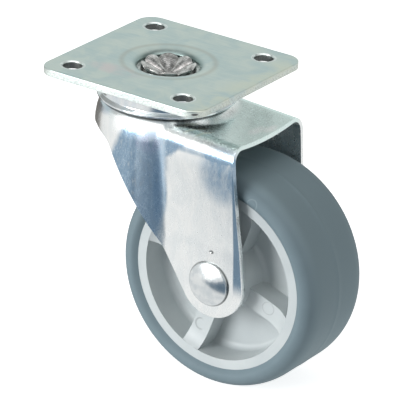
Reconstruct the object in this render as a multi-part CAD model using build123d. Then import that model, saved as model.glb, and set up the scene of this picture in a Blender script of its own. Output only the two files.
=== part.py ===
from build123d import *
from math import acos, asin, cos, degrees, pi, radians, sin, tan
import os

# Swivel castor with a top plate, a double ball race and a pressed fork. Millimetres and degrees.
# The origin is on the swivel axis at the plate's upper face. +X points to the rear, where the wheel
# trails, +Y points across the castor and +Z points up.

# The castor as a whole. With these sizes it stands 100 mm high.
TRAIL = 32.0
TYRE_TOP_GAP = 8.65

# Wheel: a moulded centre with a tyre moulded onto it
WHEEL_DIAMETER = 75.0
TYRE_WIDTH = 32.2
TYRE_SHOULDER_WIDTH = 6.6
TYRE_SHOULDER_HEIGHT = 4.5
TYRE_SIDEWALL_HEIGHT = 2.2
RIM_INSET = 1.5
RIM_THICKNESS = 3.2
TYRE_KEY_WIDTH = 17.0
TYRE_KEY_DEPTH = 1.3
HUB_PROUD = 0.8
HUB_DIAMETER = 22.0
HUB_DRAFT = 0.8
WEB_THICKNESS = 8.0
WEB_FILLET = 2.0
RIB_COUNT = 4
RIB_WIDTH = 6.4
RIB_INSET = 2.7
RIB_RISE_LENGTH = 7.0
RIB_START_ANGLE = 71.0

# Axle: a sleeve held between the fork's legs by a headed rivet, closed over a washer
SLEEVE_DIAMETER = 12.0
RIVET_DIAMETER = 8.0
RIVET_HEAD_DIAMETER = 14.7
RIVET_RIM_THICKNESS = 0.8
RIVET_RIM_WIDTH = 0.5
RIVET_DOME_HEIGHT = 1.6
RIVET_TAIL_DIAMETER = 12.0
RIVET_TAIL_HEIGHT = 2.0
WASHER_DIAMETER = 14.0
WASHER_THICKNESS = 1.2
RUNNING_CLEARANCE = 0.06
RIVET_CLEARANCE = 0.1
HUB_SIDE_CLEARANCE = 0.4

# Top plate, with a dish and a cup pressed into its middle
PLATE_LENGTH = 62.3
PLATE_WIDTH = 62.0
PLATE_REAR_SHIFT = 1.3
PLATE_THICKNESS = 2.5
PLATE_CORNER_RADIUS = 6.0
HOLE_PITCH_LENGTH = 43.0
HOLE_PITCH_WIDTH = 45.8
HOLE_DIAMETER = 6.4
DISH_WIDTH = 5.4
DISH_DEPTH = 1.8
CUP_DEPTH = 3.6
CUP_FLOOR_THICKNESS = 2.0
CUP_WALL_THICKNESS = 2.5

# Kingpin: a turned pin with a flange below and a star-peened head above
KINGPIN_NECK_DIAMETER = 12.0
KINGPIN_DIAMETER = 14.8
KINGPIN_HEAD_DIAMETER = 18.4
KINGPIN_HEAD_HEIGHT = 3.2
KINGPIN_FLANGE_DIAMETER = 21.0
KINGPIN_FLANGE_THICKNESS = 2.5
STAR_POINTS = 8
STAR_GROOVE_WIDTH = 3.6
STAR_GROOVE_DEPTH = 1.4
STAR_HOLLOW_DEPTH = 1.2
HEAD_CUP_CLEARANCE = 1.1
NECK_CLEARANCE = 0.05

# Ball races above and below the fork's crown
UPPER_BALL_DIAMETER = 6.35
UPPER_BALL_BOSS_GAP = 0.225
UPPER_GROOVE_DEPTH = 0.6
UPPER_CUP_THICKNESS = 2.0
UPPER_CUP_BEND_RADIUS = 3.0
LOWER_BALL_DIAMETER = 5.0
LOWER_BALL_PIN_GAP = 1.5
LOWER_GROOVE_DEPTH = 0.4
LOWER_CUP_THICKNESS = 1.6
LOWER_CUP_CROWN_GAP = 1.6
BALL_PLAY = 0.05
BALL_SPACING = 0.3
LIP_WIDTH = 1.4
LIP_THICKNESS = 0.6
LIP_CROWN_GAP = 0.6
PLATE_CUP_CLEARANCE = 0.6

# Fork: one sheet, drawn up into a round crown and folded down into two legs
FORK_SHEET = 1.5
CROWN_MARGIN = 1.6
CROWN_FLARE_ANGLE = 17.0
CROWN_FLARE_HEIGHT = 5.7
CROWN_BEND_RADIUS = 3.0
CROWN_EASING_RADIUS = 19.0
CROWN_LEG_OVERHANG = 2.85
CROWN_LAND_MARGIN = 0.5
CROWN_LAND_RISE = 1.15
CROWN_LAND_SLOPE = 55.0
CROWN_SKIRT_HEIGHT = 8.8
KINGPIN_CLEARANCE = 1.2
FORK_TOP_DROP = 1.85
FORK_TOP_SLOPE = 3.0
FORK_TOP_SAG = 1.5
FORK_TOP_LENGTH = 39.2
LEG_SPREAD = 1.4
LEG_BEND_RADIUS = 5.0
LEG_TURN_BELOW_TOP = 10.0
LEG_EASING_RADIUS = 60.0
LEG_FLAT_ABOVE_AXLE = 13.0
LEG_END_RADIUS = 12.1
LEG_END_SHIFT = 0.75
LEG_END_DROP = 11.35
LEG_LEAD_RADIUS = 11.8
LEG_LEAD_START = 7.8
LEG_LEAD_DROP = 2.2
LEG_LEAD_RUN = 7.0
LEG_LEAD_EASING = 6.0
LEG_TRAIL_SAG = 0.35
SADDLE_RADIUS = 5.0
PILOT_MARK_DIAMETER = 1.0
PILOT_MARK_DEPTH = 0.4
PILOT_MARK_ABOVE_AXLE = 11.2

# Heights on the swivel axis, worked down from the plate
PLATE_UNDERSIDE = -PLATE_THICKNESS
CUP_FLOOR_TOP = -CUP_DEPTH
CUP_FLOOR_UNDERSIDE = CUP_FLOOR_TOP - CUP_FLOOR_THICKNESS
UPPER_CUP_CEILING = PLATE_UNDERSIDE - UPPER_CUP_THICKNESS
UPPER_RACE_ARC = UPPER_BALL_DIAMETER / 2 + BALL_PLAY
UPPER_BALL_Z = UPPER_CUP_CEILING - UPPER_RACE_ARC
CROWN_LAND_Z = UPPER_BALL_Z - UPPER_RACE_ARC + UPPER_GROOVE_DEPTH
CROWN_TOP_Z = CROWN_LAND_Z - CROWN_LAND_RISE
CROWN_WALL_Z = CROWN_TOP_Z - CROWN_FLARE_HEIGHT
LOWER_RACE_ARC = LOWER_BALL_DIAMETER / 2 + BALL_PLAY
LOWER_BALL_Z = CROWN_LAND_Z - FORK_SHEET + LOWER_GROOVE_DEPTH - LOWER_RACE_ARC
LOWER_CUP_FLOOR_TOP = LOWER_BALL_Z - LOWER_RACE_ARC
LOWER_CUP_UNDERSIDE = LOWER_CUP_FLOOR_TOP - LOWER_CUP_THICKNESS
LOWER_CUP_TOP = CROWN_LAND_Z - FORK_SHEET - LOWER_CUP_CROWN_GAP
FORK_TOP_Z = CROWN_TOP_Z - FORK_TOP_DROP
SKIRT_Z = CROWN_TOP_Z - CROWN_SKIRT_HEIGHT
TYRE_TOP_Z = FORK_TOP_Z - FORK_SHEET - FORK_TOP_SAG - TYRE_TOP_GAP
AXLE_Z = TYRE_TOP_Z - WHEEL_DIAMETER / 2
LEG_TURN_Z = FORK_TOP_Z - LEG_TURN_BELOW_TOP
LEG_FLAT_Z = AXLE_Z + LEG_FLAT_ABOVE_AXLE
LEG_END_Z = AXLE_Z - LEG_END_DROP

# Distances across the castor, from its middle plane
TYRE_SIDE_Y = TYRE_WIDTH / 2
TREAD_EDGE_Y = TYRE_SIDE_Y - TYRE_SHOULDER_WIDTH
RIM_FACE_Y = TYRE_SIDE_Y - RIM_INSET
RIB_TOP_Y = RIM_FACE_Y - RIB_INSET
HUB_END_Y = TYRE_SIDE_Y + HUB_PROUD
LEG_INNER_Y = HUB_END_Y + HUB_SIDE_CLEARANCE
LEG_OUTER_Y = LEG_INNER_Y + FORK_SHEET
SHOULDER_Y = LEG_OUTER_Y + LEG_SPREAD

# Radii about the wheel's axle
TREAD_RADIUS = WHEEL_DIAMETER / 2
TYRE_SIDE_RADIUS = TREAD_RADIUS - TYRE_SHOULDER_HEIGHT
RIM_RADIUS = TYRE_SIDE_RADIUS - TYRE_SIDEWALL_HEIGHT

# Radii about the swivel axis
PLATE_CUP_RADIUS = KINGPIN_HEAD_DIAMETER / 2 + HEAD_CUP_CLEARANCE
PLATE_BOSS_RADIUS = PLATE_CUP_RADIUS + CUP_WALL_THICKNESS
UPPER_RACE_RADIUS = PLATE_BOSS_RADIUS + UPPER_BALL_BOSS_GAP + UPPER_BALL_DIAMETER / 2
LOWER_RACE_RADIUS = KINGPIN_DIAMETER / 2 + LOWER_BALL_PIN_GAP + LOWER_BALL_DIAMETER / 2
UPPER_CUP_INNER = UPPER_RACE_RADIUS + UPPER_RACE_ARC
UPPER_CUP_OUTER = UPPER_CUP_INNER + UPPER_CUP_THICKNESS
LOWER_CUP_INNER = LOWER_RACE_RADIUS + LOWER_RACE_ARC
LOWER_CUP_OUTER = LOWER_CUP_INNER + LOWER_CUP_THICKNESS
CROWN_RADIUS = max(UPPER_CUP_OUTER + CROWN_MARGIN, SHOULDER_Y + CROWN_LEG_OVERHANG)
CROWN_TOP_RADIUS = CROWN_RADIUS - CROWN_FLARE_HEIGHT * tan(radians(CROWN_FLARE_ANGLE))

# The wheel, its sleeve and its rivet are drawn about +Z. This plane lays them on the axle, with that
# direction pointing out of the near side of the castor.
ON_AXLE = Plane((TRAIL, 0, AXLE_Z), x_dir=(1, 0, 0), z_dir=(0, -1, 0))


def turned(*outline):
    """A solid of revolution about Z, from a closed outline of radius and height."""
    return revolve(Plane.XZ * make_face(outline), Axis.Z)


def corners_at(face, *points):
    """The corners of a face that lie at the given points."""
    return [corner for corner in face.vertices() if any((Vector(corner) - p).length < 0.001 for p in points)]


def touch_point(outside, centre, radius, side):
    """Where a straight line from an outside point touches a circle. The side is +1 or -1."""
    outward = outside - centre
    swing = side * degrees(acos(radius / outward.length))
    return centre + outward.normalized().rotate(Axis.Z, swing) * radius


def ring_of_balls(diameter, pitch_radius, height):
    """As many balls as the race holds, evenly spaced."""
    count = int(pi / asin((diameter + BALL_SPACING) / (2 * pitch_radius)))
    ball = Pos(pitch_radius, 0, height) * Sphere(diameter / 2)
    return [Rot(0, 0, 360 * turn / count) * ball for turn in range(count)]


def make_top_plate():
    blank = RectangleRounded(PLATE_LENGTH, PLATE_WIDTH, PLATE_CORNER_RADIUS)
    holes = GridLocations(HOLE_PITCH_LENGTH, HOLE_PITCH_WIDTH, 2, 2) * Circle(HOLE_DIAMETER / 2)
    sheet = extrude(Pos(PLATE_REAR_SHIFT, 0) * blank - holes, -PLATE_THICKNESS)
    boss = turned(
        Polyline(
            (0, CUP_FLOOR_UNDERSIDE),
            (PLATE_BOSS_RADIUS - 0.4, CUP_FLOOR_UNDERSIDE),
            (PLATE_BOSS_RADIUS, PLATE_UNDERSIDE),
            (PLATE_BOSS_RADIUS, PLATE_UNDERSIDE / 2),
            (0, PLATE_UNDERSIDE / 2),
            (0, CUP_FLOOR_UNDERSIDE),
        )
    )
    dish_radius = PLATE_CUP_RADIUS + DISH_WIDTH
    dish = turned(
        Polyline((dish_radius, 0), (0, 0), (0, CUP_FLOOR_TOP), (PLATE_CUP_RADIUS, CUP_FLOOR_TOP)),
        Line((PLATE_CUP_RADIUS, CUP_FLOOR_TOP), (PLATE_CUP_RADIUS, -DISH_DEPTH)),
        EllipticalCenterArc((dish_radius, -DISH_DEPTH), DISH_WIDTH, DISH_DEPTH, 90, arc_size=90),
    )
    bore = Cylinder(KINGPIN_NECK_DIAMETER / 2 + NECK_CLEARANCE, 4 * CUP_DEPTH)
    return sheet + boss - dish - bore


def make_kingpin():
    head_top = CUP_FLOOR_TOP + KINGPIN_HEAD_HEIGHT
    head = KINGPIN_HEAD_DIAMETER / 2
    neck = KINGPIN_NECK_DIAMETER / 2
    body = KINGPIN_DIAMETER / 2
    flange = KINGPIN_FLANGE_DIAMETER / 2
    flange_underside = LOWER_CUP_UNDERSIDE - KINGPIN_FLANGE_THICKNESS
    pin = turned(
        Polyline(
            (0, head_top - STAR_HOLLOW_DEPTH),
            (head - 1.6, head_top),
            (head - 0.6, head_top - 0.4),
            (head, head_top - 1.4),
            (head, CUP_FLOOR_TOP),
            (neck, CUP_FLOOR_TOP),
            (neck, CUP_FLOOR_UNDERSIDE),
            (body, CUP_FLOOR_UNDERSIDE),
            (body, LOWER_CUP_UNDERSIDE),
            (flange, LOWER_CUP_UNDERSIDE),
            (flange, flange_underside + 0.6),
            (flange - 0.6, flange_underside),
            (0, flange_underside),
            (0, head_top - STAR_HOLLOW_DEPTH),
        )
    )
    notch = make_face(
        Polyline(
            (-STAR_GROOVE_WIDTH / 2, head_top),
            (0, head_top - STAR_GROOVE_DEPTH),
            (STAR_GROOVE_WIDTH / 2, head_top),
            (-STAR_GROOVE_WIDTH / 2, head_top),
        )
    )
    groove = extrude(Plane.YZ * notch, head)
    grooves = PolarLocations(0, STAR_POINTS) * groove
    return pin - grooves


def make_upper_race_cup():
    bore = PLATE_BOSS_RADIUS + PLATE_CUP_CLEARANCE
    lip_underside = CROWN_TOP_Z + LIP_CROWN_GAP
    lip_top = lip_underside + LIP_THICKNESS
    lip = UPPER_CUP_OUTER + LIP_WIDTH
    bend_top = Vector(UPPER_CUP_OUTER - UPPER_CUP_BEND_RADIUS, PLATE_UNDERSIDE)
    bend_end = Vector(UPPER_CUP_OUTER, PLATE_UNDERSIDE - UPPER_CUP_BEND_RADIUS)
    return turned(
        Polyline((bore, UPPER_CUP_CEILING), (bore, PLATE_UNDERSIDE), bend_top),
        RadiusArc(bend_top, bend_end, UPPER_CUP_BEND_RADIUS),
        Line(bend_end, (UPPER_CUP_OUTER, lip_top + 0.7)),
        Polyline(
            (UPPER_CUP_OUTER, lip_top + 0.7),
            (lip, lip_top),
            (lip, lip_underside),
            (UPPER_CUP_INNER, lip_underside),
            (UPPER_CUP_INNER, UPPER_BALL_Z),
        ),
        RadiusArc((UPPER_CUP_INNER, UPPER_BALL_Z), (UPPER_RACE_RADIUS, UPPER_CUP_CEILING), -UPPER_RACE_ARC),
        Line((UPPER_RACE_RADIUS, UPPER_CUP_CEILING), (bore, UPPER_CUP_CEILING)),
    )


def make_lower_race_cup():
    bore = KINGPIN_DIAMETER / 2 + NECK_CLEARANCE
    return turned(
        Line((LOWER_RACE_RADIUS, LOWER_CUP_FLOOR_TOP), (bore, LOWER_CUP_FLOOR_TOP)),
        Polyline(
            (bore, LOWER_CUP_FLOOR_TOP),
            (bore, LOWER_CUP_UNDERSIDE),
            (LOWER_CUP_OUTER - LOWER_CUP_THICKNESS, LOWER_CUP_UNDERSIDE),
        ),
        RadiusArc(
            (LOWER_CUP_OUTER - LOWER_CUP_THICKNESS, LOWER_CUP_UNDERSIDE),
            (LOWER_CUP_OUTER, LOWER_CUP_FLOOR_TOP),
            -LOWER_CUP_THICKNESS,
        ),
        Polyline(
            (LOWER_CUP_OUTER, LOWER_CUP_FLOOR_TOP),
            (LOWER_CUP_OUTER, LOWER_CUP_TOP),
            (LOWER_CUP_INNER, LOWER_CUP_TOP),
            (LOWER_CUP_INNER, LOWER_BALL_Z),
        ),
        RadiusArc((LOWER_CUP_INNER, LOWER_BALL_Z), (LOWER_RACE_RADIUS, LOWER_CUP_FLOOR_TOP), LOWER_RACE_ARC),
    )


def fork_form(inset):
    """The pressed form as a solid, taken in by a distance: the round crown joined to the legged trough."""
    low = LEG_END_Z - LEG_END_RADIUS
    land_shift = inset * tan(radians(CROWN_LAND_SLOPE / 2))
    land_foot = UPPER_CUP_INNER - CROWN_LAND_MARGIN - land_shift
    land_edge = land_foot - CROWN_LAND_RISE / tan(radians(CROWN_LAND_SLOPE))
    wall_shift = inset * tan(radians(CROWN_FLARE_ANGLE / 2))
    rim_shift = inset * tan(radians(45 - CROWN_FLARE_ANGLE / 2))
    wall = Vector(CROWN_RADIUS - inset, CROWN_WALL_Z - wall_shift)
    rim = Vector(CROWN_TOP_RADIUS - rim_shift, CROWN_TOP_Z - inset)
    half_section = make_face(
        Polyline(
            (0, low),
            (wall.X, low),
            wall,
            rim,
            (land_foot, CROWN_TOP_Z - inset),
            (land_edge, CROWN_LAND_Z - inset),
            (0, CROWN_LAND_Z - inset),
            (0, low),
        )
    )
    half_section = fillet(corners_at(half_section, rim), CROWN_BEND_RADIUS - inset)
    half_section = fillet(corners_at(half_section, wall), CROWN_EASING_RADIUS - inset)
    crown = Rot(0, 0, 180) * revolve(Plane.XZ * half_section, Axis.Z)

    left_and_right = (-1, 1)
    shoulders = [Vector(side * (SHOULDER_Y - inset), FORK_TOP_Z - inset) for side in left_and_right]
    turns = [Vector(side * (SHOULDER_Y - inset), LEG_TURN_Z) for side in left_and_right]
    flats = [Vector(side * (LEG_OUTER_Y - inset), LEG_FLAT_Z) for side in left_and_right]
    feet = [Vector(side * (LEG_OUTER_Y - inset), low - LEG_END_RADIUS) for side in left_and_right]
    across = make_face(
        [
            ThreePointArc(shoulders[0], (0, FORK_TOP_Z - inset - FORK_TOP_SAG), shoulders[1]),
            Polyline(shoulders[1], turns[1], flats[1], feet[1], feet[0], flats[0], turns[0], shoulders[0]),
        ]
    )
    across = fillet(corners_at(across, *turns, *flats), LEG_EASING_RADIUS)
    across = fillet(corners_at(across, *shoulders), LEG_BEND_RADIUS - inset)
    fall = tan(radians(FORK_TOP_SLOPE))
    across_swivel = Pos(0, 0, FORK_TOP_LENGTH * fall) * (Plane.YZ * across)
    trough = extrude(across_swivel, 2 * FORK_TOP_LENGTH, dir=(1, 0, -fall))
    trough = split(trough, Plane.XY.offset(low), keep=Keep.TOP)

    form = crown + trough
    seam = new_edges(crown, trough, combined=form)
    return fillet(seam, SADDLE_RADIUS + inset)


def make_fork():
    sheet = fork_form(0) - fork_form(FORK_SHEET)

    # Side view: skirt, straight leading edge, rounded end about the axle, slightly hollow trailing edge
    front = -2 * CROWN_RADIUS
    end_x = TRAIL + LEG_END_SHIFT
    top_rear = Vector(FORK_TOP_LENGTH, FORK_TOP_Z)
    lead_corner = Vector(-LEG_LEAD_START, SKIRT_Z - LEG_LEAD_DROP)
    end_foot = Vector(end_x, LEG_END_Z)
    lead_touch = touch_point(lead_corner, Vector(end_x, LEG_END_Z + LEG_LEAD_RADIUS), LEG_LEAD_RADIUS, 1)
    trail_touch = touch_point(top_rear, Vector(end_x, LEG_END_Z + LEG_END_RADIUS), LEG_END_RADIUS, -1)
    outline = make_face(
        [
            Polyline(
                top_rear,
                (FORK_TOP_LENGTH, 0),
                (front, 0),
                (front, SKIRT_Z),
                (-LEG_LEAD_START - LEG_LEAD_RUN, SKIRT_Z),
                lead_corner,
                lead_touch,
            ),
            RadiusArc(lead_touch, end_foot, -LEG_LEAD_RADIUS),
            RadiusArc(end_foot, trail_touch, -LEG_END_RADIUS),
            SagittaArc(trail_touch, top_rear, LEG_TRAIL_SAG),
        ]
    )
    outline = fillet(corners_at(outline, lead_corner), LEG_LEAD_EASING)
    fork = sheet & extrude(Plane.XZ * outline, 2 * CROWN_RADIUS, both=True)

    # Races pressed into the crown, the kingpin's hole, the rivet's holes and the pilot mark
    fork -= Pos(0, 0, UPPER_BALL_Z) * Torus(UPPER_RACE_RADIUS, UPPER_RACE_ARC)
    fork -= Pos(0, 0, LOWER_BALL_Z) * Torus(LOWER_RACE_RADIUS, LOWER_RACE_ARC)
    fork -= Pos(0, 0, CROWN_LAND_Z) * Cylinder(KINGPIN_DIAMETER / 2 + KINGPIN_CLEARANCE, 3 * FORK_SHEET)
    fork -= ON_AXLE * Cylinder(RIVET_DIAMETER / 2 + RIVET_CLEARANCE, 3 * SHOULDER_Y)
    mark_height = LEG_OUTER_Y - PILOT_MARK_DEPTH / 2
    mark = Cylinder(PILOT_MARK_DIAMETER / 2, PILOT_MARK_DEPTH)
    return fork - ON_AXLE * Pos(0, PILOT_MARK_ABOVE_AXLE, mark_height) * mark


def make_axle_sleeve():
    wall = Circle(SLEEVE_DIAMETER / 2) - Circle(RIVET_DIAMETER / 2 + RIVET_CLEARANCE)
    return ON_AXLE * extrude(wall, LEG_INNER_Y, both=True)


def make_axle_rivet():
    head = RIVET_HEAD_DIAMETER / 2
    shank = RIVET_DIAMETER / 2
    rim_top = LEG_OUTER_Y + RIVET_RIM_THICKNESS
    dome = head - RIVET_RIM_WIDTH
    dome_top = rim_top + RIVET_DOME_HEIGHT
    tail_seat = -LEG_OUTER_Y - WASHER_THICKNESS
    tail = RIVET_TAIL_DIAMETER / 2
    tail_edge = tail_seat - RIVET_TAIL_HEIGHT / 3
    tail_top = tail_seat - RIVET_TAIL_HEIGHT
    profile = make_face(
        [
            ThreePointArc((0, dome_top), (dome * 0.72, rim_top + RIVET_DOME_HEIGHT * 0.54), (dome, rim_top)),
            Polyline(
                (dome, rim_top),
                (head, rim_top),
                (head, LEG_OUTER_Y),
                (shank, LEG_OUTER_Y),
                (shank, tail_seat),
                (tail, tail_seat),
                (tail, tail_edge),
            ),
            ThreePointArc((tail, tail_edge), (tail * 0.72, tail_top + 0.6), (tail / 3, tail_top)),
            Polyline((tail / 3, tail_top), (0, tail_top), (0, dome_top)),
        ]
    )
    return ON_AXLE * revolve(Plane.XZ * profile, Axis.Z)


def make_closing_washer():
    ring = Circle(WASHER_DIAMETER / 2) - Circle(RIVET_DIAMETER / 2 + RIVET_CLEARANCE)
    return ON_AXLE * Pos(0, 0, -LEG_OUTER_Y) * extrude(ring, -WASHER_THICKNESS)


def rim_seat():
    """The rim's outer surface in section, from the near face to the far one: the tyre is moulded onto it."""
    key = TYRE_KEY_WIDTH / 2
    floor = RIM_RADIUS - TYRE_KEY_DEPTH
    return [
        (RIM_RADIUS, RIM_FACE_Y),
        (RIM_RADIUS, key + TYRE_KEY_DEPTH),
        (floor, key),
        (floor, -key),
        (RIM_RADIUS, -key - TYRE_KEY_DEPTH),
        (RIM_RADIUS, -RIM_FACE_Y),
    ]


def make_tyre():
    shoulder = (TYRE_SHOULDER_HEIGHT, TYRE_SHOULDER_WIDTH)
    profile = make_face(
        [
            Polyline(*rim_seat()),
            TangentArc((TYRE_SIDE_RADIUS, -TYRE_SIDE_Y), (RIM_RADIUS, -RIM_FACE_Y), tangent=(-1, 0)),
            EllipticalCenterArc((TYRE_SIDE_RADIUS, -TREAD_EDGE_Y), *shoulder, 270, arc_size=90),
            Line((TREAD_RADIUS, -TREAD_EDGE_Y), (TREAD_RADIUS, TREAD_EDGE_Y)),
            EllipticalCenterArc((TYRE_SIDE_RADIUS, TREAD_EDGE_Y), *shoulder, 0, arc_size=90),
            TangentArc((TYRE_SIDE_RADIUS, TYRE_SIDE_Y), (RIM_RADIUS, RIM_FACE_Y), tangent=(-1, 0)),
        ]
    )
    return ON_AXLE * revolve(Plane.XZ * profile, Axis.Z)


def make_wheel_centre():
    bore = SLEEVE_DIAMETER / 2 + RUNNING_CLEARANCE
    hub = HUB_DIAMETER / 2
    inner = RIM_RADIUS - RIM_THICKNESS
    web = WEB_THICKNESS / 2
    corners = [Vector(radius, side * web) for radius in (hub + HUB_DRAFT, inner) for side in (-1, 1)]
    section = make_face(
        Polyline(
            *rim_seat(),
            (inner, -RIM_FACE_Y),
            corners[2],
            corners[0],
            (hub, -HUB_END_Y),
            (bore, -HUB_END_Y),
            (bore, HUB_END_Y),
            (hub, HUB_END_Y),
            corners[1],
            corners[3],
            (inner, RIM_FACE_Y),
            (RIM_RADIUS, RIM_FACE_Y),
        )
    )
    section = fillet(corners_at(section, *corners), WEB_FILLET)
    body = revolve(Plane.XZ * section, Axis.Z)

    # Each rib runs from the hub to the rim on both sides of the web and sweeps up to the rim's face
    start = inner - RIB_RISE_LENGTH
    middle = (bore + hub) / 2
    buried = inner + RIM_THICKNESS / 4
    rib_side = make_face(
        [
            Polyline((start, -RIB_TOP_Y), (middle, -RIB_TOP_Y), (middle, RIB_TOP_Y), (start, RIB_TOP_Y)),
            TangentArc((start, RIB_TOP_Y), (inner, RIM_FACE_Y), tangent=(1, 0)),
            Polyline((inner, RIM_FACE_Y), (buried, RIM_FACE_Y), (buried, -RIM_FACE_Y), (inner, -RIM_FACE_Y)),
            TangentArc((start, -RIB_TOP_Y), (inner, -RIM_FACE_Y), tangent=(1, 0)),
        ]
    )
    rib = extrude(Plane.XZ * rib_side, RIB_WIDTH / 2, both=True)
    ribs = [Rot(0, 0, RIB_START_ANGLE + 360 * turn / RIB_COUNT) * rib for turn in range(RIB_COUNT)]
    return ON_AXLE * (body + ribs)


pieces = {
    "top_plate": make_top_plate(),
    "kingpin": make_kingpin(),
    "upper_race_cup": make_upper_race_cup(),
    "lower_race_cup": make_lower_race_cup(),
    "fork": make_fork(),
    "axle_sleeve": make_axle_sleeve(),
    "axle_rivet": make_axle_rivet(),
    "closing_washer": make_closing_washer(),
    "wheel_centre": make_wheel_centre(),
    "tyre": make_tyre(),
}
rows = {
    "upper_ball": ring_of_balls(UPPER_BALL_DIAMETER, UPPER_RACE_RADIUS, UPPER_BALL_Z),
    "lower_ball": ring_of_balls(LOWER_BALL_DIAMETER, LOWER_RACE_RADIUS, LOWER_BALL_Z),
}
for name, balls in rows.items():
    for number, ball in enumerate(balls, 1):
        pieces[f"{name}_{number:02d}"] = ball

os.makedirs("parts", exist_ok=True)
for name, piece in pieces.items():
    export_step(piece, f"parts/{name}.step")
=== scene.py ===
from math import cos, pi, radians, sin, sqrt, tan

import bmesh
import bpy
from mathutils import Matrix, Vector


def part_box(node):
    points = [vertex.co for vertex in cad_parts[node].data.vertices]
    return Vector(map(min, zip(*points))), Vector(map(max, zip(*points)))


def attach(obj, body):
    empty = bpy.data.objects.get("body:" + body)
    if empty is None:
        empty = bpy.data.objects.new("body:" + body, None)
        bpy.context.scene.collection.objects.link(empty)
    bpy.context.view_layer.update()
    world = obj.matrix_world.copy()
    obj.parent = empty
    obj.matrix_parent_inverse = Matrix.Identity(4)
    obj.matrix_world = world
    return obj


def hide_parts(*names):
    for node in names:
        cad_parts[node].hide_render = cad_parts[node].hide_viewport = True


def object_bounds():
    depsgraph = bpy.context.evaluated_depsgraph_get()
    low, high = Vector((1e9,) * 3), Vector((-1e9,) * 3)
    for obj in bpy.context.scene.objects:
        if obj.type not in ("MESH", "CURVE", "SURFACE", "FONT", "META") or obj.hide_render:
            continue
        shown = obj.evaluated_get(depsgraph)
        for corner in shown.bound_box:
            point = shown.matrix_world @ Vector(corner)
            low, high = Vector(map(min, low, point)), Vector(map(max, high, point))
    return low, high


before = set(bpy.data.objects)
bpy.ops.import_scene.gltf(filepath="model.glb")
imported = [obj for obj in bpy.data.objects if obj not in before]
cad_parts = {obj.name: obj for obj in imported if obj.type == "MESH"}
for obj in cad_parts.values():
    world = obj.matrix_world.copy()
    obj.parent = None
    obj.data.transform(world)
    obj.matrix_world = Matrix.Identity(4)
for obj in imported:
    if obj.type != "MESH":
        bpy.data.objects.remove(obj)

cad_box = [list(corner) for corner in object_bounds()]

# ---------------------------------------------------------------------------------------------------
# Top plate: a square of 2.5 mm sheet steel, blanked, pierced and pressed, then zinc plated and passivated.
# The punch rolls its upper edges over, and the plating takes faint rainbow tints and rolling streaks.
# ---------------------------------------------------------------------------------------------------
# Outlines and patterns are drawn in millimetres. What Blender takes in metres is times MM.
MM = 0.001
PLATE_EDGE_ROLL = 0.45 * MM
PLATE_THICKNESS = 2.5
HOLE_X = 21.5
HOLE_Y = 22.9
HOLE_RADIUS = 3.2
CUP_RADIUS = 10.3
DISH_RADIUS = 15.7
JOIN_DISTANCE = 0.0005 * MM
FLAT_ANGLE = radians(0.2)
SHARP_ANGLE = radians(34)


class Wire:
    """A socket in a node tree. Python's arithmetic on wires adds the Math nodes that work it out."""

    def __init__(self, board, socket):
        self.board = board
        self.socket = socket

    def math(self, operation, *others):
        return self.board.number(operation, self, *others)

    def __add__(self, other):
        return self.math("ADD", other)

    def __sub__(self, other):
        return self.math("SUBTRACT", other)

    def __rsub__(self, other):
        return self.board.number("SUBTRACT", other, self)

    def __mul__(self, other):
        return self.math("MULTIPLY", other)

    def __truediv__(self, other):
        return self.math("DIVIDE", other)

    def __rtruediv__(self, other):
        return self.board.number("DIVIDE", other, self)

    def __pow__(self, other):
        return self.math("POWER", other)

    __radd__ = __add__
    __rmul__ = __mul__

    def ramp(self, low, high):
        """0 below the first value, 1 above the second and smooth between. They may be in either order."""
        settings = {"interpolation_type": "SMOOTHSTEP"}
        return self.board.add("ShaderNodeMapRange", settings, {0: self, 1: low, 2: high, 3: 0.0, 4: 1.0})

    def band(self, low, high, soft):
        """1 between the two values and 0 outside them, with soft edges."""
        return self.ramp(low - soft, low + soft) * self.ramp(high + soft, high - soft)


class Board:
    """A node tree in the making: a material's or a Geometry Nodes modifier's."""

    def __init__(self, tree):
        self.tree = tree

    def add(self, kind, settings=None, values=None, output=0):
        """Adds a node, sets it up, gives its inputs values or wires and returns one of its outputs."""
        node = self.tree.nodes.new(kind)
        for name, value in (settings or {}).items():
            if name == "stops":
                elements = node.color_ramp.elements
                for stop, (place, colour) in enumerate(value):
                    element = elements[stop] if stop < len(elements) else elements.new(place)
                    element.position = place
                    element.color = (*colour, 1)
            else:
                setattr(node, name, value)
        for name, value in (values or {}).items():
            if isinstance(value, Wire):
                self.tree.links.new(value.socket, node.inputs[name])
            else:
                node.inputs[name].default_value = value
        return Wire(self, node.outputs[output])

    def number(self, operation, *inputs):
        return self.add("ShaderNodeMath", {"operation": operation}, dict(enumerate(inputs)))

    def parts(self, vector):
        """The three numbers of a vector."""
        node = self.add("ShaderNodeSeparateXYZ", values={0: vector}).socket.node
        return [Wire(self, part) for part in node.outputs]


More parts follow.
